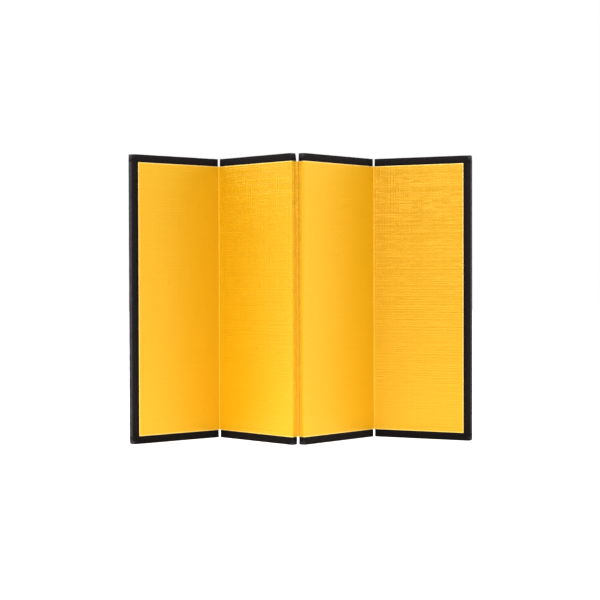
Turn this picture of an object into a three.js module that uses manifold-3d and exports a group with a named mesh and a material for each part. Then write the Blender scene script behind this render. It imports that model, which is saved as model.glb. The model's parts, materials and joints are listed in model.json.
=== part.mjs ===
// A four-panel folding table screen: card boards edged in black cloth tape, covered in gold
// paper in front and dark paper behind, and joined by paper and tape hinges so that it stands
// in a zigzag. Millimetres and degrees, +Z up, gold faces towards -Y, origin on the ground
// under the middle of the standing screen.
import * as THREE from "three";
import { mergeVertices } from "three/addons/utils/BufferGeometryUtils.js";
import Module from "manifold-3d";

const wasm = await Module();
wasm.setup();

// Driving dimensions.
const HEIGHT = 150;
const PANEL_WIDTH = 53.4;
const HINGE_GAP = 1.3; // between the ends of two neighbouring boards
const BOARD = 2.5; // greyboard core
const TAPE = 0.25; // black edging and hinge tape
const PAPER = 0.2; // gold and backing sheets
const GLUE = 0.05; // clearance left between glued layers
const END_FIT = 0.1; // clearance between a board's end and the sheet that covers it
const BORDER = 4; // black edging left showing above and below the gold
const SIDE_BORDER = 3.8; // and at the two outer edges
const LAP = 3; // edging covered by the paper sheets
const CORNER_GAP = 0.2; // between the side edging and the edging that closes the corner
const TAPE_GAP = 0.3; // between a hinge tape and the edging above or below it
const TAPE_WIDTH = 9; // of a hinge tape on one board
const AXIS_CLEARANCE = 0.15; // from a hinge axis to the nearest paper or tape

// How the screen stands: the angle between panel 2 and the X axis, and the angle inside each
// fold, which is in front of the two valleys and behind the ridge.
const PANEL_2_TURN = -43.5;
const LEFT_FOLD = 99;
const CENTRE_FOLD = 91;
const RIGHT_FOLD = 110.5;

// Depths of the layers, from the gold face at 0 to the back, each as [nearest, farthest].
const [GOLD, FRONT_TAPE, CORE, BACK_TAPE, BACKING] = stack([PAPER, TAPE, BOARD, TAPE, PAPER]);
const THICKNESS = BACKING[1];
const INSET = TAPE + GLUE; // of the board, inside the edging that wraps it
const REACH = HINGE_GAP / 2 - AXIS_CLEARANCE; // of a hinge's papers and tapes past the board end
const SHEET_Z = [BORDER, HEIGHT - BORDER];
const TAPE_Z = [BORDER + LAP + TAPE_GAP, HEIGHT - BORDER - LAP - TAPE_GAP];

const LEFT = -1;
const RIGHT = 1;
const WELD = 1e-4; // distance within which a solid's corners are one
const FLATNESS = 1e-4; // deviation within which its faces are one plane

function stack(thicknesses) {
  let depth = 0;
  return thicknesses.map((thickness) => {
    const layer = [depth, depth + thickness];
    depth += thickness + GLUE;
    return layer;
  });
}

// A span of the panel's width, by distances in from its left or right end.
function fromEnd(side, a, b) {
  return side === LEFT ? [a, b] : [PANEL_WIDTH - b, PANEL_WIDTH - a];
}

// A span of the panel's height, by distances in from its top or bottom.
function fromTop(top, a, b) {
  return top ? [HEIGHT - b, HEIGHT - a] : [a, b];
}

function block([x0, x1], [y0, y1], [z0, z1]) {
  const box = new THREE.BoxGeometry(x1 - x0, y1 - y0, z1 - z0);
  return box.translate((x0 + x1) / 2, (y0 + y1) / 2, (z0 + z1) / 2);
}

function solidOf(geometry) {
  const bare = geometry.clone();
  bare.deleteAttribute("normal");
  bare.deleteAttribute("uv");
  const merged = mergeVertices(bare, WELD);
  return new wasm.Manifold(
    new wasm.Mesh({
      numProp: 3,
      vertProperties: merged.attributes.position.array,
      triVerts: new Uint32Array(merged.index.array),
    }),
  );
}

function geometryOf(solid) {
  const { vertProperties, triVerts } = solid.getMesh();
  const geometry = new THREE.BufferGeometry();
  geometry.setAttribute("position", new THREE.BufferAttribute(vertProperties, 3));
  geometry.setIndex(new THREE.BufferAttribute(triVerts, 1));
  geometry.computeVertexNormals();
  return geometry;
}

// One solid from blocks that touch or overlap, with its flat faces merged.
function join(blocks) {
  const whole = blocks.map(solidOf).reduce((sum, next) => sum.add(next));
  return geometryOf(whole.asOriginal().simplify(FLATNESS));
}

const greyboard = () => ({ color: 0x8d8578, roughness: 0.95, metalness: 0 });
const blackTape = () => ({ color: 0x231d20, roughness: 0.75, metalness: 0 });
const hingeTape = () => ({ color: 0x2c2a28, roughness: 0.85, metalness: 0 });
const goldPaper = () => ({ color: 0xf9c132, roughness: 0.55, metalness: 0.15 });
const backingPaper = () => ({ color: 0x2a2526, roughness: 0.85, metalness: 0 });

function piece(name, geometry, look) {
  const mesh = new THREE.Mesh(geometry, new THREE.MeshStandardMaterial(look()));
  mesh.name = name;
  return mesh;
}

// Tape folded over the top or bottom of the board: a web, a leg down each face, a lap under the
// sheets, and at each end a tab that closes the corner. The lap stops short of the sheet that
// lines a fold, and of the side edging at an outer end.
function capEdging(top, ends) {
  const band = fromTop(top, 0, BORDER - GLUE);
  const lap = fromTop(top, TAPE, BORDER + LAP);
  const depth = [FRONT_TAPE[0], BACK_TAPE[1]];
  const whole = [0, PANEL_WIDTH];
  const lapped = ends.map(([side, kind]) => {
    const inset = kind === "outer" ? SIDE_BORDER + LAP + CORNER_GAP : INSET;
    return fromEnd(side, inset, inset)[0];
  });
  const blocks = [block(whole, depth, fromTop(top, 0, TAPE))];
  for (const leg of [FRONT_TAPE, BACK_TAPE]) {
    blocks.push(block(whole, leg, band), block(lapped, leg, lap));
  }
  for (const [side] of ends) blocks.push(block(fromEnd(side, 0, TAPE), depth, band));
  return join(blocks);
}

// Tape folded over an outer edge of the board, between the edgings above and below.
function sideEdging(side) {
  const height = [BORDER - GLUE + CORNER_GAP, HEIGHT - BORDER + GLUE - CORNER_GAP];
  const depth = [FRONT_TAPE[0], BACK_TAPE[1]];
  const leg = fromEnd(side, 0, SIDE_BORDER + LAP);
  return join([
    block(fromEnd(side, 0, TAPE), depth, height),
    block(leg, FRONT_TAPE, height),
    block(leg, BACK_TAPE, height),
  ]);
}

// The width that a paper sheet covers: up to the black border at an outer edge, and out to the
// hinge axis, less its clearance, where the sheet is the one that bridges the fold.
function sheetWidth(ends, bridges) {
  const [left, right] = ends.map(([side, kind]) => {
    const inset = kind === "outer" ? SIDE_BORDER : kind === bridges ? -REACH : 0;
    return fromEnd(side, inset, inset)[0];
  });
  return [left, right];
}

// A sheet on one face of the board. At the folds that open on its side, it turns round the
// board's end and runs out along the far side of the gap, so that the groove is lined.
function sheet(ends, face, bridges, lines, wallDepth, stripDepth) {
  const blocks = [block(sheetWidth(ends, bridges), face, SHEET_Z)];
  for (const [side, kind] of ends) {
    if (kind !== lines) continue;
    blocks.push(block(fromEnd(side, 0, PAPER), wallDepth, SHEET_Z));
    blocks.push(block(fromEnd(side, -REACH, PAPER), stripDepth, SHEET_Z));
  }
  return join(blocks);
}

function goldSheet(ends) {
  const wall = [GOLD[0], CORE[1]];
  const strip = [CORE[1] - PAPER, CORE[1]];
  return sheet(ends, GOLD, "valley", "ridge", wall, strip);
}

function backingSheet(ends) {
  const wall = [CORE[0], BACKING[1]];
  const strip = [CORE[0], CORE[0] + PAPER];
  return sheet(ends, BACKING, "ridge", "valley", wall, strip);
}

function coreBoard(ends) {
  const [left, right] = ends.map(([side, kind]) => {
    const inset = kind === "outer" ? INSET : PAPER + END_FIT;
    return fromEnd(side, inset, inset)[0];
  });
  return block([left, right], CORE, [INSET, HEIGHT - INSET]);
}

// One half of the tape that carries a fold: behind the gold paper at a valley, and behind the
// board at the ridge.
function hingeLeaf(side, kind) {
  const layer = kind === "valley" ? FRONT_TAPE : BACK_TAPE;
  return block(fromEnd(side, -REACH, TAPE_WIDTH), layer, TAPE_Z);
}

function panel(number, ends) {
  const group = new THREE.Group();
  const add = (name, geometry, look) => group.add(piece(`${name}_${number}`, geometry, look));
  add("core_board", coreBoard(ends), greyboard);
  add("top_edging", capEdging(true, ends), blackTape);
  add("bottom_edging", capEdging(false, ends), blackTape);
  add("gold_paper", goldSheet(ends), goldPaper);
  add("backing_paper", backingSheet(ends), backingPaper);
  for (const [side, kind, fold] of ends) {
    if (kind === "outer") add("side_edging", sideEdging(side), blackTape);
    else add(`${fold}_tape`, hingeLeaf(side, kind), hingeTape);
  }
  return group;
}

// Hangs one panel on another at a fold. The axis stands in the middle of the gap between the
// boards, just in front of the gold at a valley and just behind the backing at the ridge.
function hang(child, parent, parentSide, kind, turn) {
  const y = kind === "valley" ? -AXIS_CLEARANCE : THICKNESS + AXIS_CLEARANCE;
  const pivot = new THREE.Group();
  pivot.position.set(fromEnd(parentSide, -HINGE_GAP / 2, 0)[parentSide === LEFT ? 0 : 1], y, 0);
  pivot.rotation.z = THREE.MathUtils.degToRad(turn);
  const childX = parentSide === LEFT ? PANEL_WIDTH + HINGE_GAP / 2 : -HINGE_GAP / 2;
  child.position.set(-childX, -y, 0);
  pivot.add(child);
  parent.add(pivot);
}

function foldingScreen() {
  const left = panel(1, [[LEFT, "outer"], [RIGHT, "valley", "left_fold"]]);
  const root = panel(2, [[LEFT, "valley", "left_fold"], [RIGHT, "ridge", "centre_fold"]]);
  const third = panel(3, [[LEFT, "ridge", "centre_fold"], [RIGHT, "valley", "right_fold"]]);
  const right = panel(4, [[LEFT, "valley", "right_fold"], [RIGHT, "outer"]]);
  hang(left, root, LEFT, "valley", 180 - LEFT_FOLD);
  hang(third, root, RIGHT, "ridge", 180 - CENTRE_FOLD);
  hang(right, third, RIGHT, "valley", RIGHT_FOLD - 180);
  root.rotation.z = THREE.MathUtils.degToRad(PANEL_2_TURN);
  const screen = new THREE.Group();
  screen.add(root);
  return screen;
}

// Moves the standing screen so that the origin is under the middle of its bounding box.
function centred(screen) {
  screen.updateMatrixWorld(true);
  const middle = new THREE.Box3().setFromObject(screen, true).getCenter(new THREE.Vector3());
  screen.position.set(-middle.x, -middle.y, 0);
  return screen;
}

export default centred(foldingScreen());
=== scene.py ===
"""A gold folding table screen: the looks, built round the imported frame.

Four card panels stand in a zigzag. Each is edged in black cloth tape, covered in embossed gold
paper in front and dark paper behind. The gold paper is carried through the folds: flat across
the two valleys, and round the board ends into the groove of the ridge.
"""
import itertools
import json
import math
from typing import NamedTuple

import bmesh
import bpy
import numpy as np
from mathutils import Matrix, Vector


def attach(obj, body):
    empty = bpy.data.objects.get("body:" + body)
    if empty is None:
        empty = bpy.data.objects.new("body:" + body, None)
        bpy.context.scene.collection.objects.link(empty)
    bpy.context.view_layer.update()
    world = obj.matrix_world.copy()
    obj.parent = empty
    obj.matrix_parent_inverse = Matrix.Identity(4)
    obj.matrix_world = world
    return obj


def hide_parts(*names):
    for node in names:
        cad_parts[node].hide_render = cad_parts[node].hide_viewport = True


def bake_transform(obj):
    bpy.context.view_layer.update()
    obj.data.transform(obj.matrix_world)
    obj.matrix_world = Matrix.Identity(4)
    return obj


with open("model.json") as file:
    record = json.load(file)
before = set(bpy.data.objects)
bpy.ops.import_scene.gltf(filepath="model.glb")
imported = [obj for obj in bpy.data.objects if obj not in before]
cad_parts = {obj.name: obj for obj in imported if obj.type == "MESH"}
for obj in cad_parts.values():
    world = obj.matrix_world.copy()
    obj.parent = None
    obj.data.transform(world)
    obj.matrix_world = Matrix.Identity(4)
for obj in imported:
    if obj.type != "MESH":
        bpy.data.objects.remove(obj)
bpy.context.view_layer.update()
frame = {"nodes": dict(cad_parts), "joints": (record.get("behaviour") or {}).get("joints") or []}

MM = 0.001

# The folds, from left to right: name, left panel, right panel, and what it is from the front.
FOLDS = (
    ("left_fold", 1, 2, "valley"),
    ("centre_fold", 2, 3, "ridge"),
    ("right_fold", 3, 4, "valley"),
)
PANEL_NUMBERS = (1, 2, 3, 4)

# Paper, in metres.
PAPER = 0.2 * MM
COLUMN_STEP = 1.4 * MM  # of a sheet's grid along the panel
ROW_STEP = 0.36 * MM  # and up it
STRIP_COLUMN_STEP = 0.18 * MM  # of the grid of a strip that crosses a fold
STRIP_ROW_STEP = 2.88 * MM
PAPER_SHARP = 50  # degrees, above which an edge of paper is shaded sharp
RIM_WIDTH = 0.6 * MM  # of the paler band along a sheet's cut edge, which on the gold is a painted highlight
TRIM = 0.12 * MM  # by which the gold sheet's cut edges fall short of the border
TURN_RADIUS = {2: 0.55 * MM, 3: 0.95 * MM}  # of the gold where it turns into the ridge's groove
BACKING_RADIUS = 0.5 * MM  # of the backing where it turns into a groove behind a valley
GROOVE_LAYERS = 0.75 * MM  # tape and papers between a groove's floor and the board's far face
WALL_END = 0.9 * MM  # height above the floor where a fold's strip takes over the lining
CREASE_RADIUS = 0.3 * MM  # of a strip that crosses a fold on its closed side
CREASE_WIDTH = 0.5 * MM  # of the painted highlight along it
HUMP_RADIUS = 0.9 * MM  # of a strip that lines its open side
FLOOR_RADIUS = 0.3 * MM  # between a groove's wall and its floor
WALL_HIGHLIGHT = 0.2  # of the painted highlight on a groove's wall, where the middle of a valley's strip has 1
TURN_SHADE_SHARE = 1 / 6  # of the groove's painted shade that a sheet takes on as it turns in
SLUB_HEIGHT = 0.03 * MM
SLUB_PITCH = 1.5  # millimetres between slub threads
SLUB_LENGTH = 6.0  # millimetres over which one swells and thins
THREAD_DRIFT = 0.6  # of the pitch, by which threads crowd and spread
DRIFT_SIZE = 2.7  # pitches over which they do
WARP_HEIGHT = 0.012 * MM
WARP_SIZE = (2.8, 14.0)  # millimetres between warp threads and along one
WAVE_SIZE = (24.0, 40.0)  # millimetres
WAVE_HEIGHT = 0.1 * MM  # slow waviness of a glued sheet
LAP_STEP = 0.05 * MM  # how far the edging underneath lifts a sheet
LAP_SLOPE = 0.8 * MM  # width of that step
FADE = 1.5 * MM  # over which the relief dies out towards a fold
FLATTENED = {1: 0.8, 2: 0.0, 3: 0.8, 4: 0.05}  # how far each gold sheet's grain is flattened, in its bump and in the painted shade between its threads
PAINTED_SHEET_LIGHT = {1: -0.12, 2: 0.25, 3: -0.05, 4: -0.1}  # painted light: how much paler each sheet is painted than the middle tone, for how the light falls on it

# Edging, in metres.
TAPE = 0.25 * MM
FOLD_RADIUS = 0.15 * MM  # of the tape's folds along the board's edges
TAPE_STEP = 0.7 * MM  # of its grid, which is finer near the folds
FINE_TICKS = (0.0, 0.05, 0.15, 0.3, 0.5, 0.8)  # millimetres in from an edge
TUCK = 1.0 * MM  # of tape modelled under the sheets
TUCK_START = 0.15 * MM  # below the sheet's edge, where it is fully under
TUCK_DEPTH = 0.12 * MM  # how far it lies behind the visible tape
TUCK_INSET = 1.0 * MM  # and inside the board's ends
BUTT_GAP = 0.03 * MM  # between the side tape and the tapes above and below
LUMP_DEPTH, LUMP_SIZE = 0.06 * MM, 3.2  # each size is in millimetres
WRINKLE_DEPTH, WRINKLE_SIZE = 0.04 * MM, 0.9
CRUMPLE_DEPTH, CRUMPLE_SIZE = 0.2 * MM, 0.7  # at the worn corners
CORNER_SIZE = 2.6 * MM
PINCH_POWER = 1.3  # of the height up the band, by which a pinched corner leans in
TAPE_SHARP = 60  # degrees
# Radius of a tape's corner by the kind of end it is at, above and below.
CORNER_RADIUS = {
    "outer": (0.35 * MM, 0.7 * MM),
    "valley": (0.2 * MM, 0.3 * MM),
    "ridge": (0.5 * MM, 0.8 * MM),
}
CORNER_WEAR = {"outer": 1.0, "valley": 0.1, "ridge": 0.7}
# How far the end tabs stand proud of the board, into the folds.
END_PROUD = {"outer": 0.0, "valley": 0.5 * MM, "ridge": 0.44 * MM}
RIDGE_PINCH = {2: 0.6 * MM, 3: 0.0}  # how far the ridge's top corners are squeezed in

# Camera, from the left fold's axis at floor level.
CAMERA_OFFSET = Vector((0.0435, -0.7544, 0.0856))
CAMERA_PITCH = 0.88  # degrees down
CAMERA_ROLL = -0.15
CAMERA_LENS = 84.0  # millimetres, on a 36 mm sensor

# Light: strengths of the room, the floor and the overhead light.
CAMERA_SIDE = 0.56  # of the white room, where it is darkest
FLOOR_GLOW = 0.35  # of the floor, which is lit through from below
POOL_GLOW = 0.8  # and where the light under it is strongest, near the screen
POOL_RADIUS = 0.2  # metres
FLOOR_HALF = 3.0  # metres from the middle of the floor to its edge
OVERHEAD = 1.2
# Each softbox: azimuth and elevation in degrees, distance and size in metres, power in watts.
SOFTBOXES = {
    "key": (-28, 52, 0.9, 0.5, 2.0),
    "glint": (-40, 38, 0.9, 0.4, 0.65),
    "left": (-88, 8, 1.0, 0.8, 1.0),
    "high_left": (-88, 40, 0.9, 0.3, 0.9),
    "right": (88, 8, 1.0, 0.8, 1.7),
}
LAMP_TARGET = Vector((0, 0, 0.075))  # the middle of the screen


# ---------------------------------------------------------------- measuring the frame


def node_points(node):
    return [v.co for v in frame["nodes"][node].data.vertices]


class Panel:
    """A panel's own frame: x along it from left to right, y from the gold face back, z up."""

    def __init__(self, number):
        self.number = number
        self.body = f"panel_{number}"
        plan = {(round(p.x, 6), round(p.y, 6)) for p in node_points(f"core_board_{number}")}
        corners = [Vector(c) for c in sorted(plan)]
        sides = sorted((c - corners[0] for c in corners[1:]), key=lambda side: side.length)
        along = sides[1].normalized()
        self.along = along if along.x > 0 else -along
        self.back = Vector((-self.along.y, self.along.x))
        self.origin = Vector((0.0, 0.0))
        left, front = self.span("top_edging")[0][0], self.span("gold_paper")[0][1]
        self.origin = self.along * left + self.back * front
        self.edging_low, self.edging_high = self.span("top_edging")
        self.width = self.edging_high[0]
        self.height = self.edging_high[2]
        self.thickness = self.span("backing_paper")[1][1]
        self.ends = end_kinds(number)

    def span(self, kind):
        """Lowest and highest corner of this panel's node of a kind, in the panel's frame."""
        points = [Vector(p) for p in node_points(f"{kind}_{self.number}")]
        flat = [p.xy - self.origin for p in points]
        local = [(f.dot(self.along), f.dot(self.back), p.z) for f, p in zip(flat, points)]
        return np.min(local, axis=0), np.max(local, axis=0)

    def plan(self, x, y):
        """A point of the panel's plan, in the row frame."""
        return self.origin + self.along * x + self.back * y

    def place(self, points):
        """Rows of (x, y, z) in the panel's frame, as rows in the row frame."""
        origin, along, back = (np.array(v) for v in (self.origin, self.along, self.back))
        flat = origin + points[:, :1] * along + points[:, 1:2] * back
        return np.column_stack([flat, points[:, 2]])


def end_kinds(number):
    """What a panel's left and right ends are: outer, valley or ridge."""
    kinds = ["outer", "outer"]
    for _, left, right, kind in FOLDS:
        if left == number:
            kinds[1] = kind
        if right == number:
            kinds[0] = kind
    return kinds


# ---------------------------------------------------------------- noise and meshes

NOISE_CELLS = {2: 256, 3: 48}  # before the noise repeats, by its dimensions


def value_noise(coords, seed):
    """Smooth noise from -1 to 1 at each row of coords, with one random value per unit."""
    coords = np.asarray(coords, float)
    dimensions = coords.shape[1]
    size = NOISE_CELLS[dimensions]
    table = np.random.default_rng(seed).uniform(-1, 1, (size,) * dimensions)
    cell = np.floor(coords).astype(int)
    part = coords - cell
    part = part * part * (3 - 2 * part)
    total = np.zeros(len(coords))
    for corner in itertools.product((0, 1), repeat=dimensions):
        weight = np.where(corner, part, 1 - part).prod(axis=1)
        total += weight * table[tuple(((cell + corner) % size).T)]
    return total


def new_piece(name, points, faces, material):
    mesh = bpy.data.meshes.new(name)
    mesh.from_pydata(points.tolist(), [], faces)
    mesh.materials.append(material)
    piece = bpy.data.objects.new(name, mesh)
    bpy.context.scene.collection.objects.link(piece)
    return piece


def shade(piece, sharp_degrees):
    """Faces turned out and shaded smooth, except across edges sharper than the angle."""
    shape = bmesh.new()
    shape.from_mesh(piece.data)
    bmesh.ops.recalc_face_normals(shape, faces=shape.faces)
    shape.to_mesh(piece.data)
    shape.free()
    piece.data.shade_smooth()
    piece.data.set_sharp_from_angle(angle=math.radians(sharp_degrees))


def set_attribute(mesh, name, values):
    attribute = mesh.attributes.new(name, "FLOAT", "POINT")
    attribute.data.foreach_set("value", np.asarray(values, np.float32))


def spread(low, high, step, rim=0.0):
    """Values from low to high about step apart, with one more at rim inside each end."""
    inner = np.linspace(low + rim, high - rim, max(2, round((high - low) / step) + 1))
    return np.concatenate([[low], inner, [high]]) if rim else inner


# ---------------------------------------------------------------- lines in plan


def fillet(before, corner, after, radius, steps=6):
    """Points of the arc that rounds a corner."""
    first, second = (before - corner).normalized(), (after - corner).normalized()
    half = first.angle(second) / 2
    centre = corner + (first + second).normalized() * (radius / math.sin(half))
    start = corner + first * (radius / math.tan(half)) - centre
    end = corner + second * (radius / math.tan(half)) - centre
    sweep = math.atan2(start.x * end.y - start.y * end.x, start.dot(end))
    return [centre + Matrix.Rotation(sweep * i / steps, 2) @ start for i in range(steps + 1)]


def rounded(corners, radii):
    """A line through the corners, with each inner one rounded by its radius."""
    line = [corners[0]]
    for before, corner, after, radius in zip(corners, corners[1:], corners[2:], radii):
        line.extend(fillet(before, corner, after, radius))
    return line + [corners[-1]]


def subdivided(line, step):
    fine = [line[0]]
    for a, b in zip(line, line[1:]):
        count = max(1, round((b - a).length / step))
        fine.extend(a.lerp(b, i / count) for i in range(1, count + 1))
    return fine


def distances(line):
    return np.concatenate([[0.0], np.cumsum([(b - a).length for a, b in zip(line, line[1:])])])


def normals_of(line, facing):
    """Unit normals along a line, on the side that facing is on at its start."""
    points = np.array(line)
    steps = np.diff(points, axis=0)
    steps /= np.linalg.norm(steps, axis=1, keepdims=True)
    tangents = np.vstack([steps[:1], steps[:-1] + steps[1:], steps[-1:]])
    tangents /= np.linalg.norm(tangents, axis=1, keepdims=True)
    normals = np.column_stack([tangents[:, 1], -tangents[:, 0]])
    return normals if normals[0] @ np.array(facing) > 0 else -normals


def meeting(a, a_direction, b, b_direction):
    """Where two lines in plan cross."""
    cross = a_direction.x * b_direction.y - a_direction.y * b_direction.x
    gap = b - a
    return a + a_direction * ((gap.x * b_direction.y - gap.y * b_direction.x) / cross)


# ---------------------------------------------------------------- paper


def grid_faces(columns, rows):
    """Faces of a closed sheet whose two sides are grids of points, one after the other."""
    under = columns * rows
    index = np.arange(under).reshape(columns, rows)
    faces = []
    for i, j in itertools.product(range(columns - 1), range(rows - 1)):
        corners = ((i, j), (i + 1, j), (i + 1, j + 1), (i, j + 1))
        quad = [int(index[corner]) for corner in corners]
        faces.append(quad)
        faces.append([under + k for k in reversed(quad)])
    border = [*index[:, 0], *index[-1, 1:], *index[-2::-1, -1], *index[0, -2:0:-1]]
    border = [int(k) for k in border]
    for a, b in zip(border, border[1:] + border[:1]):
        faces.append([b, a, under + a, under + b])
    return faces


def paper_piece(name, line, facing, heights, start, relief, rim, marks, material):
    """A closed sheet of paper that stands on a line in plan, its seen side on the side facing.
    relief(distance, height) lifts the seen side, rim(distance, height) says how near a cut edge
    is, and start is the distance at which the line begins in the whole run of paper. marks are
    attributes with one value for each point of the line."""
    columns = distances(line) + start
    s, z = (grid.ravel() for grid in np.meshgrid(columns, heights, indexing="ij"))
    base = np.repeat(np.array(line), len(heights), axis=0)
    out = np.repeat(normals_of(line, facing), len(heights), axis=0)
    seen = np.column_stack([base + out * relief(s, z)[:, None], z])
    hidden = np.column_stack([base - out * PAPER, z])
    faces = grid_faces(len(line), len(heights))
    piece = new_piece(name, np.vstack([seen, hidden]), faces, material)
    uv = piece.data.uv_layers.new(name="sheet_mm")
    corners = np.zeros(len(piece.data.loops), int)
    piece.data.loops.foreach_get("vertex_index", corners)
    flat = np.column_stack([np.tile(s, 2), np.tile(z, 2)])[corners] / MM
    uv.data.foreach_set("uv", flat.astype(np.float32).ravel())
    set_attribute(piece.data, "rim", np.tile(rim(s, z), 2))
    for mark, values in marks.items():
        set_attribute(piece.data, mark, np.tile(np.repeat(values, len(heights)), 2))
    shade(piece, PAPER_SHARP)
    return piece


def inset_of(s, z, cut_ends, low, high):
    """Distance in from the nearest cut edge of a sheet."""
    inset = np.minimum(z - low, high - z)
    for end in cut_ends:
        inset = np.minimum(inset, np.abs(s - end))
    return inset


def thread_heights(along, across, pitch, length, seed):
    """Height from 0 to 1 of threads that run along, each swelling and thinning by itself."""
    level = np.zeros_like(across)
    drift = value_noise(np.column_stack([across / (DRIFT_SIZE * pitch), level]), seed)
    place = across / pitch + THREAD_DRIFT * drift
    row = np.floor(place)
    profile = np.sin(np.pi * (place - row)) ** 2
    return profile * np.clip(value_noise(np.column_stack([along / length, row]), seed + 1), 0, 1)


def embossed(seed, cut_ends, folded_ends, low, high, lap):
    """Relief of the gold paper: slubs along it, faint warp threads up it, the slow wave of glued
    paper and the step over the edging, all dying out towards the folds."""

    def relief(s, z):
        u, v = s / MM, z / MM
        slubs = thread_heights(u, v, SLUB_PITCH, SLUB_LENGTH, seed)
        warp = value_noise(np.column_stack([u, v]) / WARP_SIZE, seed + 2)
        wave = value_noise(np.column_stack([u, v]) / WAVE_SIZE, seed + 3)
        inset = inset_of(s, z, cut_ends, low, high)
        step = np.clip((lap - inset) / LAP_SLOPE, 0, 1)
        total = SLUB_HEIGHT * slubs + WARP_HEIGHT * warp + LAP_STEP * step
        total += WAVE_HEIGHT * (wave - 1) / 2
        for end in folded_ends:
            total *= np.clip(np.abs(s - end) / FADE, 0, 1)
        return total

    return relief


def smooth_paper(s, z):
    return np.zeros_like(s)


class Cover:
    """The run of paper on one side of the whole screen: the gold in front or the backing."""

    def __init__(self, name, node, slot, material, lined, seed, turn_radius):
        self.name = name
        self.node = node
        self.slot = slot
        self.material = material
        self.lined = lined  # the kind of fold whose groove is on this side
        self.seed = seed
        self.turn_radius = turn_radius
        self.start = 0.0
        self.gold = node == "gold_paper"

    def outward(self, panel):
        return -panel.back if self.gold else panel.back

    def face(self, panel):
        return 0.0 if self.gold else panel.thickness

    def groove(self, panel, above_floor):
        """Depth in the panel of a point in a groove on this side, by its height over the floor."""
        if self.gold:
            return panel.thickness - GROOVE_LAYERS - above_floor
        return GROOVE_LAYERS + above_floor

    def trimmed(self, panel):
        """The CAD sheet's span in the panel's frame, with its cut edges drawn in a little."""
        low, high = panel.span(self.node)
        left = TRIM if panel.ends[0] == "outer" else 0.0
        right = TRIM if panel.ends[1] == "outer" else 0.0
        return low + (left, 0.0, TRIM), high - (right, 0.0, TRIM)

    def build(self, panels):
        for number in PANEL_NUMBERS:
            self.sheet(panels[number])
            for name, left, right, kind in FOLDS:
                if left == number:
                    self.strip(name, panels[left], panels[right], kind)

    def sheet_line(self, panel, low, high):
        """The line of a sheet in plan, with its turn into a groove on this side, and the way
        that its seen side faces where it starts."""
        face, wall = self.face(panel), self.groove(panel, WALL_END)
        radius = self.turn_radius.get(panel.number)
        left = low[0] if panel.ends[0] == "outer" else 0.0
        right = high[0] if panel.ends[1] == "outer" else panel.width
        corners, radii = [panel.plan(left, face), panel.plan(right, face)], []
        facing = self.outward(panel)
        if panel.ends[0] == self.lined:
            corners.insert(0, panel.plan(left, wall))
            radii.append(radius)
            facing = -panel.along
        if panel.ends[1] == self.lined:
            corners.append(panel.plan(right, wall))
            radii.append(radius)
        line = subdivided(rounded(corners, radii), COLUMN_STEP)
        return with_rims(line, panel.ends), facing

    def sheet_marks(self, panel, line):
        """How much of the groove's painted shade, how flattened a grain and how much painted
        lightness the sheet has along its line.
        """
        face = self.face(panel)
        drop = self.groove(panel, 0.0) - face
        groove_shade = [(p - panel.plan(0.0, face)).dot(panel.back) / drop for p in line]
        return {
            "groove_shade": np.array(groove_shade) * TURN_SHADE_SHARE,
            "flattened": [FLATTENED[panel.number]] * len(line),
            "painted_sheet_light": [PAINTED_SHEET_LIGHT[panel.number]] * len(line),
        }

    def sheet(self, panel):
        low, high = self.trimmed(panel)
        line, facing = self.sheet_line(panel, low, high)
        end = self.start + distances(line)[-1]
        cut, folded = [], []
        for at, kind in zip((self.start, end), panel.ends):
            (cut if kind == "outer" else folded).append(at)
        lap = high[2] - panel.edging_low[2]
        relief = embossed(self.seed + 10 * panel.number, cut, folded, low[2], high[2], lap)

        def rim(s, z):
            return np.clip(1 - inset_of(s, z, cut, low[2], high[2]) / RIM_WIDTH, 0, 1)

        heights = spread(low[2], high[2], ROW_STEP, RIM_WIDTH)
        piece = paper_piece(
            f"{self.name}_sheet_{panel.number}", line, facing, heights, self.start,
            relief, rim, self.sheet_marks(panel, line), self.material,
        )
        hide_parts(f"{self.node}_{panel.number}")
        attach(piece, panel.body)
        self.start = end

    def strip(self, fold, left, right, kind):
        """The paper across a fold, bent round its corner."""
        low, high = self.trimmed(left)
        lines_groove = kind == self.lined
        if lines_groove:
            level = [self.groove(panel, 0.0) for panel in (left, right)]
            top = [self.groove(panel, WALL_END) for panel in (left, right)]
        else:
            level = [self.face(panel) for panel in (left, right)]
        a, b = left.plan(left.width, level[0]), right.plan(0.0, level[1])
        middle = meeting(a, left.along, b, right.along)
        corners, radii, facing = [a, middle, b], [CREASE_RADIUS], self.outward(left)
        if lines_groove:
            corners = [left.plan(left.width, top[0]), *corners, right.plan(0.0, top[1])]
            radii = [FLOOR_RADIUS, HUMP_RADIUS, FLOOR_RADIUS]
            facing = left.along
        line = rounded(corners, radii)

        def rim(s, z):
            return np.clip(1 - inset_of(s, z, [], low[2], high[2]) / RIM_WIDTH, 0, 1)

        line = subdivided(line, STRIP_COLUMN_STEP)
        run = distances(line)
        off_centre = np.abs(run - run[-1] / 2)
        # In the ridge's groove: painted shade, strongest at the middle of its floor, and a little
        # painted highlight on its walls. Across a valley: a painted highlight along the fold line.
        if lines_groove:
            groove_shade = 1 - 2 * off_centre / run[-1]
            marks = {"groove_shade": groove_shade, "crease_highlight": WALL_HIGHLIGHT * (1 - groove_shade)}
        else:
            marks = {"crease_highlight": np.clip(1 - off_centre / CREASE_WIDTH, 0, 1)}
        heights = spread(low[2], high[2], STRIP_ROW_STEP, RIM_WIDTH)
        piece = paper_piece(
            f"{self.name}_{fold}", line, facing, heights, self.start, smooth_paper, rim,
            marks, self.material,
        )
        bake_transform(piece)
        self.start += run[-1]


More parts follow.
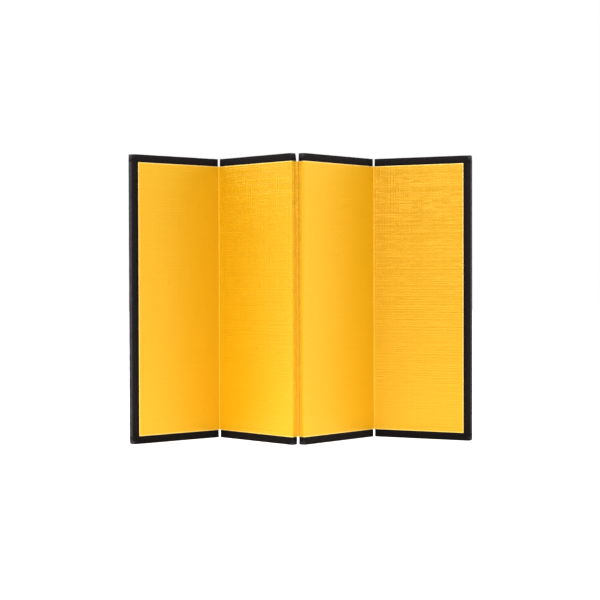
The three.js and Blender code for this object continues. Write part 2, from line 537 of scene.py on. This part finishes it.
def with_rims(line, ends):
    """The line with one more point at a rim's width inside each cut end."""
    if ends[0] == "outer":
        line = [line[0], line[0] + (line[1] - line[0]).normalized() * RIM_WIDTH, *line[1:]]
    if ends[1] == "outer":
        line = [*line[:-1], line[-1] + (line[-2] - line[-1]).normalized() * RIM_WIDTH, line[-1]]
    return line


# ---------------------------------------------------------------- edging


def ticks(length):
    """Grid lines across a length of tape, closer together towards both ends."""
    near = np.array(FINE_TICKS) * MM
    if length < 4 * near[-1]:
        near = near[near <= FOLD_RADIUS]
    middle = spread(near[-1], length - near[-1], TAPE_STEP)
    return np.concatenate([near[:-1], middle, length - near[-2::-1]])


def tape_grid(length, depth, band):
    """Points and faces of an open-footed box of tape, and the points round its foot.
    A point is (along, depth, height), and height 0 is where the visible band begins."""
    near = np.array(FINE_TICKS) * MM
    up = spread(0.0, band - near[-1], TAPE_STEP)
    up = np.concatenate([[-TUCK, -TUCK_START], up, band - near[-2::-1]])
    lines, across = ticks(length), ticks(depth)
    ends = (len(lines) - 1, len(across) - 1, len(up) - 1)
    index, points, faces = {}, [], []

    def at(i, j, k):
        if (i, j, k) not in index:
            index[i, j, k] = len(points)
            points.append((lines[i], across[j], up[k]))
        return index[i, j, k]

    for i, k in itertools.product(range(ends[0]), range(ends[2])):
        for j in (0, ends[1]):
            faces.append([at(i, j, k), at(i + 1, j, k), at(i + 1, j, k + 1), at(i, j, k + 1)])
    for j, k in itertools.product(range(ends[1]), range(ends[2])):
        for i in (0, ends[0]):
            faces.append([at(i, j, k), at(i, j + 1, k), at(i, j + 1, k + 1), at(i, j, k + 1)])
    top = ends[2]
    for i, j in itertools.product(range(ends[0]), range(ends[1])):
        faces.append([at(i, j, top), at(i + 1, j, top), at(i + 1, j + 1, top), at(i, j + 1, top)])
    foot = [at(i, 0, 0) for i in range(ends[0] + 1)]
    foot += [at(ends[0], j, 0) for j in range(1, ends[1] + 1)]
    foot += [at(i, ends[1], 0) for i in range(ends[0] - 1, -1, -1)]
    foot += [at(0, j, 0) for j in range(ends[1] - 1, 0, -1)]
    return np.array(points), faces, foot


def square_to_round(a, b, radius):
    """Moves points whose insets from two edges are a and b so that the corner between those
    edges is round. Returns the new insets and the share of the normal that each edge has."""
    da, db = np.clip(radius - a, 0, None), np.clip(radius - b, 0, None)
    long_side, slant = np.maximum(da, db), np.hypot(da, db)
    shrink = np.divide(long_side, slant, out=np.ones_like(slant), where=slant > 0)
    in_corner = (da > 0) & (db > 0)
    new_a = np.where(in_corner, radius - da * shrink, a)
    new_b = np.where(in_corner, radius - db * shrink, b)
    share_a = np.divide(da, slant, out=np.zeros_like(a), where=slant > 0)
    share_b = np.divide(db, slant, out=np.zeros_like(a), where=slant > 0)
    return new_a, new_b, np.where(in_corner, share_a, a <= b), np.where(in_corner, share_b, a > b)


class TapeShape:
    """The shape of one piece of edging, in its own (along, depth, height)."""

    def __init__(self, size, radii):
        self.length, self.depth, self.band = size
        self.radii = radii  # of its two corners, or None where its ends butt against others

    def rounded(self, points):
        """The points with the folds and corners rounded, and the way out at each."""
        along, depth, height = points.T
        last = along > self.length / 2
        end = np.where(last, self.length - along, along)
        if self.radii is None:
            end = np.full_like(end, self.length)
        radius = np.where(last, *reversed(self.radii)) if self.radii else FOLD_RADIUS
        new_end, new_top, to_end, to_top = square_to_round(end, self.band - height, radius)
        inset = np.minimum(end, self.band - height)
        behind = depth > self.depth / 2
        face = np.where(behind, self.depth - depth, depth)
        new_inset, new_face, to_edge, to_face = square_to_round(inset, face, FOLD_RADIUS)
        sink = new_inset - inset
        new_end = new_end + sink * to_end
        new_top = new_top + sink * to_top
        if self.radii is None:
            new_along = along
        else:
            new_along = np.where(last, self.length - new_end, new_end)
        new_depth = np.where(behind, self.depth - new_face, new_face)
        skin = np.column_stack([new_along, new_depth, self.band - new_top])
        sides = np.column_stack([np.where(last, 1, -1), np.where(behind, 1, -1), np.ones_like(end)])
        out = sides * np.column_stack([to_end * to_edge, to_face, to_top * to_edge])
        edge = np.minimum(to_edge, to_face) * math.sqrt(2)
        return skin, out, edge

    def corner_nearness(self, skin, ends_wear):
        """How worn the tape is near its two outer corners, by how worn each may be."""
        last = skin[:, 0] > self.length / 2
        end = np.where(last, self.length - skin[:, 0], skin[:, 0])
        distance = np.hypot(end, self.band - skin[:, 2])
        return np.where(last, *reversed(ends_wear)) * np.clip(1 - distance / CORNER_SIZE, 0, 1)


def lumpy(skin, out, near, seed):
    """The skin with its slow lumps, wrinkles and crumpled corners, all pressed inwards."""
    mm = skin / MM
    depth = (1 + value_noise(mm / LUMP_SIZE, seed)) / 2 * LUMP_DEPTH
    depth += (1 + value_noise(mm / WRINKLE_SIZE, seed + 1)) / 2 * WRINKLE_DEPTH
    depth += (1 + value_noise(mm / CRUMPLE_SIZE, seed + 2)) / 2 * CRUMPLE_DEPTH * near
    shown = np.clip(skin[:, 2] / FOLD_RADIUS, 0, 1)
    return skin - out * (depth * shown)[:, None]


def pinched(skin, shape, pinches):
    """The skin with its outer corners squeezed in along the tape."""
    last = skin[:, 0] > shape.length / 2
    end = np.where(last, shape.length - skin[:, 0], skin[:, 0])
    rise = np.clip(skin[:, 2] / shape.band, 0, 1) ** PINCH_POWER
    fade = np.clip(1 - end / CORNER_SIZE, 0, 1)
    shift = np.where(last, *reversed(pinches)) * rise * fade * np.where(last, -1, 1)
    return skin + np.column_stack([shift, np.zeros_like(shift), np.zeros_like(shift)])


def tucked(skin, size, prouds):
    """The skin drawn in to lie under the sheets and inside the board's ends, by how far each end
    stands proud of them."""
    along, depth, height = skin.T
    if prouds:
        low, high = TUCK_INSET + prouds[0], size[0] - TUCK_INSET - prouds[1]
        along = low + along / size[0] * (high - low)
    depth = TUCK_DEPTH + depth / size[1] * (size[1] - 2 * TUCK_DEPTH)
    return np.column_stack([along, depth, height])


class TapeEnd(NamedTuple):
    """One end of a piece of edging: the radius of its corner, how worn that is, how far it is
    squeezed in, and how far it stands proud of the board."""

    radius: float
    wear: float
    pinch: float
    proud: float


def folded_tape(name, panel, size, to_panel, seed, ends, material):
    """A piece of edging. size is its length, depth and visible band, and to_panel turns its own
    (along, depth, height) into the panel's frame. It has two ends, or none where it butts against
    other tapes."""
    points, faces, foot = tape_grid(*size)
    shape = TapeShape(size, [end.radius for end in ends] if ends else None)
    skin, out, edge = shape.rounded(points)
    near = np.zeros(len(skin))
    if ends:
        near = shape.corner_nearness(skin, [end.wear for end in ends])
    seen = lumpy(skin, out, near, seed)
    if ends:
        seen = pinched(seen, shape, [end.pinch for end in ends])
    under = tucked(seen, size, [end.proud for end in ends])
    seen = np.where((skin[:, 2] < 0)[:, None], under, seen)
    hidden = seen - out * TAPE
    count = len(seen)
    faces = faces + [[count + k for k in reversed(face)] for face in faces]
    for a, b in zip(foot, foot[1:] + foot[:1]):
        faces.append([a, b, count + b, count + a])
    placed = panel.place(to_panel(np.vstack([seen, hidden])))
    piece = new_piece(name, placed, faces, material)
    set_attribute(piece.data, "wear", np.tile(near, 2))
    set_attribute(piece.data, "fold", np.tile(edge, 2))
    set_attribute(piece.data, "outward", np.tile(np.clip(skin[:, 2] / size[2], 0, 1), 2))
    shade(piece, TAPE_SHARP)
    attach(piece, panel.body)
    return piece


def edge_panel(panel, material):
    front, back = panel.edging_low[1], panel.edging_high[1]
    depth = back - front
    gold_low, gold_high = panel.span("gold_paper")
    proud = [END_PROUD[kind] for kind in panel.ends]
    start = -proud[0]
    whole = panel.width + proud[1] + proud[0]
    size = (whole, depth, panel.height - gold_high[2])

    def top(p):
        return np.column_stack([p[:, 0] + start, p[:, 1] + front, p[:, 2] + gold_high[2]])

    def bottom(p):
        return np.column_stack([p[:, 0] + start, p[:, 1] + front, gold_low[2] - p[:, 2]])

    seed = 100 * panel.number
    for below, (name, to_panel) in enumerate((("top", top), ("bottom", bottom))):
        ends = []
        for kind, tab in zip(panel.ends, proud):
            pinch = RIDGE_PINCH[panel.number] if kind == "ridge" and not below else 0.0
            ends.append(TapeEnd(CORNER_RADIUS[kind][below], CORNER_WEAR[kind], pinch, tab))
        full_name = f"{name}_tape_{panel.number}"
        piece = folded_tape(full_name, panel, size, to_panel, seed + 10 * below, ends, material)
        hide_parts(f"{name}_edging_{panel.number}")
    if "outer" not in panel.ends:
        return
    on_left = panel.ends[0] == "outer"
    length = gold_high[2] - gold_low[2] - 2 * BUTT_GAP
    band = gold_low[0] if on_left else panel.width - gold_high[0]

    def side(p):
        x = gold_low[0] - p[:, 2] if on_left else gold_high[0] + p[:, 2]
        return np.column_stack([x, p[:, 1] + front, p[:, 0] + gold_low[2] + BUTT_GAP])

    full_name = f"side_tape_{panel.number}"
    piece = folded_tape(full_name, panel, (length, depth, band), side, seed + 20, [], material)
    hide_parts(f"side_edging_{panel.number}")


# ---------------------------------------------------------------- materials

# Colours, linear.
GOLD_DARK, GOLD_PALE = (0.69, 0.345, 0.0003, 1), (0.87, 0.50, 0.0015, 1)
GOLD_CLOUD = (0.75, 0.395, 0.0004, 1)
# Painted shade for the ridge's groove.
GOLD_GROOVE_SHADE = (0.69, 0.33, 0.0002, 1)
# Painted highlight along the valleys' folds and on the groove's walls.
GOLD_CREASE_HIGHLIGHT = (1.0, 0.58, 0.02, 1)
# Painted highlight along the gold's cut edges.
GOLD_RIM_HIGHLIGHT = (1.0, 0.72, 0.2, 1)
DUST_SPECK = (0.2, 0.08, 0.01, 1)
BACKING_DARK, BACKING_PALE = (0.012, 0.010, 0.011, 1), (0.030, 0.025, 0.027, 1)
BACKING_CLOUD = (0.024, 0.022, 0.026, 1)
BACKING_RIM = (0.09, 0.08, 0.08, 1)
TAPE_DARK, TAPE_PALE = (0.005, 0.0036, 0.0042, 1), (0.0115, 0.0088, 0.01, 1)
# Painted shade, low down and next to the paper.
TAPE_SHADE = (0.001, 0.0004, 0.0004, 1)
# Painted sheen, mottled, on the outer faces.
TAPE_SHEEN = (0.04, 0.036, 0.041, 1)
# Paler cloth for worn corners and for the painted highlight along the folds.
TAPE_WEAR_AND_HIGHLIGHT = (0.085, 0.08, 0.09, 1)
PULP_DARK, PULP_PALE = (0.20, 0.17, 0.13, 1), (0.36, 0.32, 0.26, 1)
PULP_FLECK = (0.08, 0.07, 0.06, 1)
CLOTH_DARK, CLOTH_PALE = (0.016, 0.014, 0.013, 1), (0.04, 0.036, 0.033, 1)
FLOOR_DARK, FLOOR_PALE = (0.93, 0.93, 0.93, 1), (0.96, 0.96, 0.96, 1)

# Threads of the gold paper's fine grain: millimetres between them and along one.
SLUBS = (1.35, 9.0)
FINE_SLUBS = (0.85, 4.0)
WARP = (1.25, 5.0)
FINE_SHARE, WARP_SHARE = 0.5, 0.85  # of the height of the slubs
CRISP_HEIGHTS = (10.0, 140.0)  # millimetres up, over which the grain grows crisper, in its bump and in the painted shade between its threads, as under light from above
CRISP = (0.25, 1.3)  # how crisp it is at each
MIDDLE_TONE = 0.63  # of the gold, from its dark to its pale
SPECK_CELL = 20.0  # millimetres between the places where a speck can be


class Shader:
    """A material's node tree, with short calls to add nodes and join them."""

    def __init__(self, name):
        self.material = bpy.data.materials.new(name)
        self.material.use_nodes = True
        self.tree = self.material.node_tree
        self.surface = self.tree.nodes["Principled BSDF"]

    def add(self, kind, inputs=(), **settings):
        node = self.tree.nodes.new("ShaderNode" + kind)
        for key, value in settings.items():
            setattr(node, key, value)
        for key, value in dict(inputs).items():
            self.put(node, key, value)
        return node

    def put(self, node, key, value):
        """Sets an input of a node, or links it if the value is another node's output."""
        if isinstance(value, bpy.types.NodeSocket):
            self.tree.links.new(value, node.inputs[key])
        else:
            node.inputs[key].default_value = value

    def set(self, **values):
        for key, value in values.items():
            self.put(self.surface, key.replace("_", " "), value)

    def scaled(self, vector, scale):
        node = self.add("VectorMath", {0: vector, 1: scale}, operation="MULTIPLY")
        return node.outputs["Vector"]

    def noise(self, vector, scale, detail=2.0, roughness=0.55):
        inputs = {"Vector": self.scaled(vector, scale), "Scale": 1.0, "Detail": detail}
        inputs["Roughness"] = roughness
        return self.add("TexNoise", inputs).outputs["Fac"]

    def math(self, operation, a, b=0.0):
        return self.add("Math", {0: a, 1: b}, operation=operation).outputs[0]

    def range(self, value, low, high, to_low=0.0, to_high=1.0):
        inputs = {"Value": value, "From Min": low, "From Max": high}
        inputs.update({"To Min": to_low, "To Max": to_high})
        return self.add("MapRange", inputs).outputs[0]

    def mix(self, share, a, b):
        node = self.add("Mix", data_type="RGBA")
        self.put(node, "Factor", share)
        self.put(node, 6, a)
        self.put(node, 7, b)
        return node.outputs[2]

    def bump(self, height, strength, distance):
        inputs = {"Height": height, "Strength": strength, "Distance": distance}
        return self.add("Bump", inputs).outputs["Normal"]


def threads(shader, along, across, pitch, length):
    """Height of the threads that run along, each swelling and thinning by itself."""
    inputs = {"W": across, "Scale": 0.37 / pitch, "Detail": 1.0}
    drift = shader.add("TexNoise", inputs, noise_dimensions="1D").outputs["Fac"]
    place = shader.math("DIVIDE", across, pitch)
    place = shader.math("ADD", place, shader.math("MULTIPLY", drift, 1.5))
    wave = shader.math("SINE", shader.math("MULTIPLY", shader.math("FRACT", place), math.pi))
    row = shader.math("MULTIPLY", shader.math("FLOOR", place), 7.31)
    spot = {"X": shader.math("DIVIDE", along, length), "Y": row}
    spot = shader.add("CombineXYZ", spot).outputs["Vector"]
    inputs = {"Vector": spot, "Scale": 1.0, "Detail": 1.0}
    swell = shader.add("TexNoise", inputs, noise_dimensions="2D").outputs["Fac"]
    profile = shader.math("MULTIPLY", wave, wave)
    return shader.math("MULTIPLY", profile, shader.range(swell, 0.35, 0.7, 0.3, 1.0))


def gold_paper():
    """Gold paper pressed with a coarse linen grain, with painted shade between its threads that
    grows towards the top, a painted lightness for each sheet, painted shade in the ridge's groove,
    and painted highlights along its creases and cut edges.
    """
    shader = Shader("embossed_gold")
    sheet = shader.add("UVMap", uv_map="sheet_mm").outputs["UV"]
    place = shader.add("SeparateXYZ", {"Vector": sheet}).outputs
    slubs = threads(shader, place["X"], place["Y"], *SLUBS)
    fine = threads(shader, place["X"], place["Y"], *FINE_SLUBS)
    warp = threads(shader, place["Y"], place["X"], *WARP)
    weave = shader.math("ADD", slubs, shader.math("MULTIPLY", fine, FINE_SHARE))
    weave = shader.math("ADD", weave, shader.math("MULTIPLY", warp, WARP_SHARE))
    flattened = shader.add("Attribute", attribute_name="flattened").outputs["Fac"]
    crisp = shader.range(place["Y"], *CRISP_HEIGHTS, *CRISP)
    crisp = shader.math("MULTIPLY", crisp, shader.range(flattened, 0.0, 1.0, 1.0, 0.0))
    # each sheet's painted lightness
    painted_sheet_light = shader.add("Attribute", attribute_name="painted_sheet_light").outputs["Fac"]
    # painted shade between the threads, stronger towards the top and on the less flattened sheets
    tone = shader.math("MULTIPLY", crisp, shader.range(weave, 0.2, 1.9, -0.5, -0.08))
    tone = shader.math("ADD", shader.math("ADD", tone, painted_sheet_light), MIDDLE_TONE)
    weave = shader.math("MULTIPLY", weave, crisp)
    colour = shader.mix(tone, GOLD_DARK, GOLD_PALE)
    cloud = shader.noise(sheet, (0.05, 0.05, 1), 2.0)
    colour = shader.mix(shader.range(cloud, 0.3, 0.7, 0.0, 0.12), colour, GOLD_CLOUD)
    colour = shader.mix(speck_mask(shader, sheet), colour, DUST_SPECK)
    # painted shade in the ridge's groove
    groove_shade = shader.add("Attribute", attribute_name="groove_shade").outputs["Fac"]
    colour = shader.mix(groove_shade, colour, GOLD_GROOVE_SHADE)
    # painted highlight along the valleys' folds and on the groove's walls
    crease_highlight = shader.add("Attribute", attribute_name="crease_highlight").outputs["Fac"]
    colour = shader.mix(crease_highlight, colour, GOLD_CREASE_HIGHLIGHT)
    # painted highlight along the cut edges
    rim = shader.add("Attribute", attribute_name="rim").outputs["Fac"]
    colour = shader.mix(shader.range(rim, 0.1, 0.6, 0.0, 0.9), colour, GOLD_RIM_HIGHLIGHT)
    grain = shader.noise(sheet, (6.0, 6.0, 1), 2.0)
    relief = shader.math("ADD", weave, shader.math("MULTIPLY", grain, 0.12))
    shader.set(
        Base_Color=colour,
        Roughness=shader.range(weave, 0.0, 1.4, 0.38, 0.3),
        Metallic=0.3,
        Normal=shader.bump(relief, 0.9, 0.14 * MM),
    )
    return shader.material


def speck_mask(shader, sheet):
    """Rare small flecks of dust and darker fibre."""
    cells = {"Vector": shader.scaled(sheet, (1 / SPECK_CELL, 1 / SPECK_CELL, 1)), "Scale": 1.0}
    spots = shader.add("TexVoronoi", cells, voronoi_dimensions="2D")
    near = shader.range(spots.outputs["Distance"], 0.006, 0.014, 1.0, 0.0)
    chosen = shader.add("SeparateColor", {"Color": spots.outputs["Color"]}).outputs["Red"]
    kept = shader.math("GREATER_THAN", chosen, 0.86)
    return shader.math("MULTIPLY", shader.math("MULTIPLY", near, kept), 0.8)


def backing_paper():
    """Plain dark paper with a fine felt of fibres."""
    shader = Shader("dark_backing")
    sheet = shader.add("UVMap", uv_map="sheet_mm").outputs["UV"]
    fibres = shader.noise(sheet, (1.3, 2.6, 1), 4.0, 0.6)
    cloud = shader.noise(sheet, (0.06, 0.06, 1), 3.0)
    laid = shader.noise(sheet, (0.05, 1.4, 1), 1.0)
    colour = shader.mix(fibres, BACKING_DARK, BACKING_PALE)
    colour = shader.mix(shader.math("MULTIPLY", cloud, 0.5), colour, BACKING_CLOUD)
    rim = shader.add("Attribute", attribute_name="rim").outputs["Fac"]
    colour = shader.mix(shader.math("MULTIPLY", rim, 0.5), colour, BACKING_RIM)
    relief = shader.math("ADD", fibres, shader.math("MULTIPLY", laid, 0.6))
    shader.set(
        Base_Color=colour,
        Roughness=shader.range(fibres, 0.3, 0.7, 0.72, 0.9),
        Normal=shader.bump(relief, 0.4, 0.05 * MM),
        Specular_IOR_Level=0.3,
    )
    return shader.material


def millimetres(shader):
    """The place on the standing screen, in millimetres."""
    place = shader.add("TexCoord").outputs["Object"]
    return shader.scaled(place, (1000, 1000, 1000))


def weave_of(shader, place, pitch):
    """Height of a plain weave: threads up the cloth and threads along it, crossed."""
    up = shader.add("SeparateXYZ", {"Vector": place}).outputs
    turn = 2 * math.pi / pitch
    along = shader.math("ADD", up["X"], shader.math("MULTIPLY", up["Y"], 0.7))
    warp = shader.math("SINE", shader.math("MULTIPLY", along, turn))
    weft = shader.math("SINE", shader.math("MULTIPLY", up["Z"], turn))
    return shader.math("MULTIPLY", warp, weft)


def black_tape():
    """Black bookbinding cloth: close weave, slight mottling, paler where corners are worn, painted
    shade low down and next to the paper, a mottled painted sheen on its outer faces, and painted
    highlights along its folds.
    """
    shader = Shader("black_tape")
    place = millimetres(shader)
    weave = weave_of(shader, place, 0.42)
    mottle = shader.noise(place, (0.5, 0.5, 0.5), 3.0)
    creases = shader.noise(place, (1.4, 1.4, 1.4), 3.0, 0.65)
    wear = shader.add("Attribute", attribute_name="wear").outputs["Fac"]
    flecks = shader.range(shader.noise(place, (1.3, 1.3, 1.3), 3.0), 0.48, 0.6)
    worn = shader.math("MULTIPLY", flecks, shader.range(wear, 0.0, 0.45))
    colour = shader.mix(mottle, TAPE_DARK, TAPE_PALE)
    # painted shade, darker towards the bottom and next to the paper
    height = shader.add("SeparateXYZ", {"Vector": place}).outputs["Z"]
    tape_shade = shader.range(height, 0.0, 20.0, 0.9, 0.0)
    outward = shader.add("Attribute", attribute_name="outward").outputs["Fac"]
    tape_shade = shader.math("MAXIMUM", tape_shade, shader.range(outward, 0.1, 0.7, 0.7, 0.0))
    colour = shader.mix(tape_shade, colour, TAPE_SHADE)
    # mottled painted sheen on the outer faces
    outer_sheen = shader.range(shader.noise(place, (0.3, 0.3, 0.3), 3.0), 0.3, 0.7, 0.3, 0.9)
    outer_sheen = shader.math("MULTIPLY", outer_sheen, shader.range(outward, 0.95, 1.0))
    colour = shader.mix(outer_sheen, colour, TAPE_SHEEN)
    colour = shader.mix(shader.math("MULTIPLY", worn, 0.7), colour, TAPE_WEAR_AND_HIGHLIGHT)
    # painted highlight along the tape's rounded folds, mottled
    fold = shader.add("Attribute", attribute_name="fold").outputs["Fac"]
    fold_highlight = shader.range(shader.noise(place, (0.7, 0.7, 0.7), 2.0), 0.35, 0.6, 0.3, 0.9)
    fold_highlight = shader.math("MULTIPLY", fold_highlight, shader.range(fold, 0.72, 1.0))
    colour = shader.mix(fold_highlight, colour, TAPE_WEAR_AND_HIGHLIGHT)
    relief = shader.math("ADD", shader.math("MULTIPLY", weave, 0.25), creases)
    shader.set(
        Base_Color=colour,
        Roughness=shader.range(creases, 0.3, 0.7, 0.55, 0.72),
        Normal=shader.bump(relief, 0.5, 0.09 * MM),
        Specular_IOR_Level=0.1,
    )
    return shader.material


def pulp_board():
    """Grey pulp board with pressed fibres and a few dark and pale flecks."""
    shader = Shader("grey_pulp_board")
    place = millimetres(shader)
    pulp = shader.noise(place, (1.2, 1.2, 1.2), 5.0, 0.65)
    flecks = shader.range(shader.noise(place, (3.0, 3.0, 3.0), 2.0), 0.62, 0.7)
    colour = shader.mix(pulp, PULP_DARK, PULP_PALE)
    colour = shader.mix(shader.math("MULTIPLY", flecks, 0.5), colour, PULP_FLECK)
    shader.set(
        Base_Color=colour,
        Roughness=shader.range(pulp, 0.3, 0.7, 0.85, 0.98),
        Normal=shader.bump(pulp, 0.5, 0.1 * MM),
    )
    return shader.material


def hinge_cloth():
    """Thin dark cloth tape under the papers."""
    shader = Shader("hinge_cloth")
    place = millimetres(shader)
    weave = weave_of(shader, place, 0.5)
    fibres = shader.noise(place, (1.5, 1.5, 1.5), 3.0)
    colour = shader.mix(fibres, CLOTH_DARK, CLOTH_PALE)
    shader.set(
        Base_Color=colour,
        Roughness=shader.range(fibres, 0.3, 0.7, 0.78, 0.92),
        Normal=shader.bump(weave, 0.4, 0.06 * MM),
    )
    return shader.material


def dress_kept_nodes():
    """Materials for the CAD nodes that stay: the boards and the hinge tapes."""
    board, tape = pulp_board(), hinge_cloth()
    for name, node in frame["nodes"].items():
        if name.startswith("core_board"):
            node.data.materials.clear()
            node.data.materials.append(board)
        elif "fold_tape" in name:
            node.data.materials.clear()
            node.data.materials.append(tape)


# ---------------------------------------------------------------- stage, light and camera


def pale_floor():
    shader = Shader("pale_floor")
    grain = shader.noise(millimetres(shader), (0.02, 0.02, 0.02), 2.0)
    colour = shader.mix(grain, FLOOR_DARK, FLOOR_PALE)
    shader.set(Base_Color=colour, Roughness=0.9, Emission_Color=colour)
    place = shader.add("TexCoord").outputs["Object"]
    away = shader.add("VectorMath", {0: place}, operation="LENGTH").outputs["Value"]
    glow = shader.range(away, 0.0, POOL_RADIUS, POOL_GLOW, FLOOR_GLOW)
    shader.set(Specular_IOR_Level=0.1, Emission_Strength=glow)
    mesh = bpy.data.meshes.new("floor")
    corners = [(x * FLOOR_HALF, y * FLOOR_HALF, 0) for x, y in ((-1, -1), (1, -1), (1, 1), (-1, 1))]
    mesh.from_pydata(corners, [], [(0, 1, 2, 3)])
    mesh.materials.append(shader.material)
    floor = bpy.data.objects.new("floor", mesh)
    bpy.context.scene.collection.objects.link(floor)


def aim(lamp, azimuth, elevation, distance):
    """Puts a lamp in a direction in degrees from the middle of the screen, facing it.
    Azimuth 0 is the camera's side and 90 is the right."""
    turn, lift = math.radians(azimuth), math.radians(elevation)
    level = math.cos(lift)
    away = Vector((math.sin(turn) * level, -math.cos(turn) * level, math.sin(lift)))
    lamp.location = LAMP_TARGET + away * distance
    lamp.rotation_euler = away.to_track_quat("Z", "Y").to_euler()
    bpy.context.scene.collection.objects.link(lamp)


def softbox(name, azimuth, elevation, distance, size, power):
    light = bpy.data.lights.new(name, "AREA")
    light.shape = "SQUARE"
    light.size = size
    light.energy = power
    aim(bpy.data.objects.new(name, light), azimuth, elevation, distance)


def overhead(strength):
    """Even light straight down, which keeps the floor white under and behind the screen."""
    light = bpy.data.lights.new("overhead", "SUN")
    light.energy = strength
    light.angle = math.radians(15)
    aim(bpy.data.objects.new("overhead", light), 0, 90, 2.0)


def white_room():
    """Light from all round, weaker from the camera's side."""
    world = bpy.data.worlds.new("studio")
    world.use_nodes = True
    tree = world.node_tree
    direction = tree.nodes.new("ShaderNodeTexCoord")
    split = tree.nodes.new("ShaderNodeSeparateXYZ")
    fall = tree.nodes.new("ShaderNodeMapRange")
    fall.interpolation_type = "SMOOTHSTEP"
    fall.inputs["From Min"].default_value = -0.9
    fall.inputs["From Max"].default_value = 0.5
    fall.inputs["To Min"].default_value = CAMERA_SIDE
    tree.links.new(direction.outputs["Generated"], split.inputs[0])
    tree.links.new(split.outputs["Y"], fall.inputs["Value"])
    tree.links.new(fall.outputs[0], tree.nodes["Background"].inputs["Strength"])
    tree.nodes["Background"].inputs["Color"].default_value = (1, 1, 1, 1)
    bpy.context.scene.world = world


def studio():
    """A white room with a key light and a glint at the upper left, a small high light on the
    left that catches the grain of the paper, a large soft light on each side, and the overhead."""
    bpy.context.scene.view_settings.view_transform = "Standard"
    white_room()
    for name, numbers in SOFTBOXES.items():
        softbox(name, *numbers)
    overhead(OVERHEAD)


def camera():
    data = bpy.data.cameras.new("camera")
    data.lens = CAMERA_LENS
    data.clip_start = 0.01
    eye = bpy.data.objects.new("camera", data)
    axis = next(j for j in frame["joints"] if j["name"] == "left_fold")["pos_m"]
    tilt = Matrix.Rotation(math.radians(90 - CAMERA_PITCH), 4, "X")
    roll = Matrix.Rotation(math.radians(CAMERA_ROLL), 4, "Z")
    place = Vector((axis[0], axis[1], 0)) + CAMERA_OFFSET
    eye.matrix_world = Matrix.Translation(place) @ tilt @ roll
    bpy.context.scene.collection.objects.link(eye)
    bpy.context.scene.camera = eye


def main():
    panels = {number: Panel(number) for number in PANEL_NUMBERS}
    Cover(
        "gold", "gold_paper", "gold_paper", gold_paper(), "ridge", 1000, TURN_RADIUS
    ).build(panels)
    Cover(
        "backing", "backing_paper", "backing_paper", backing_paper(), "valley", 2000,
        dict.fromkeys(PANEL_NUMBERS, BACKING_RADIUS),
    ).build(panels)
    tape = black_tape()
    for panel in panels.values():
        edge_panel(panel, tape)
    dress_kept_nodes()
    pale_floor()
    studio()
    camera()


main()
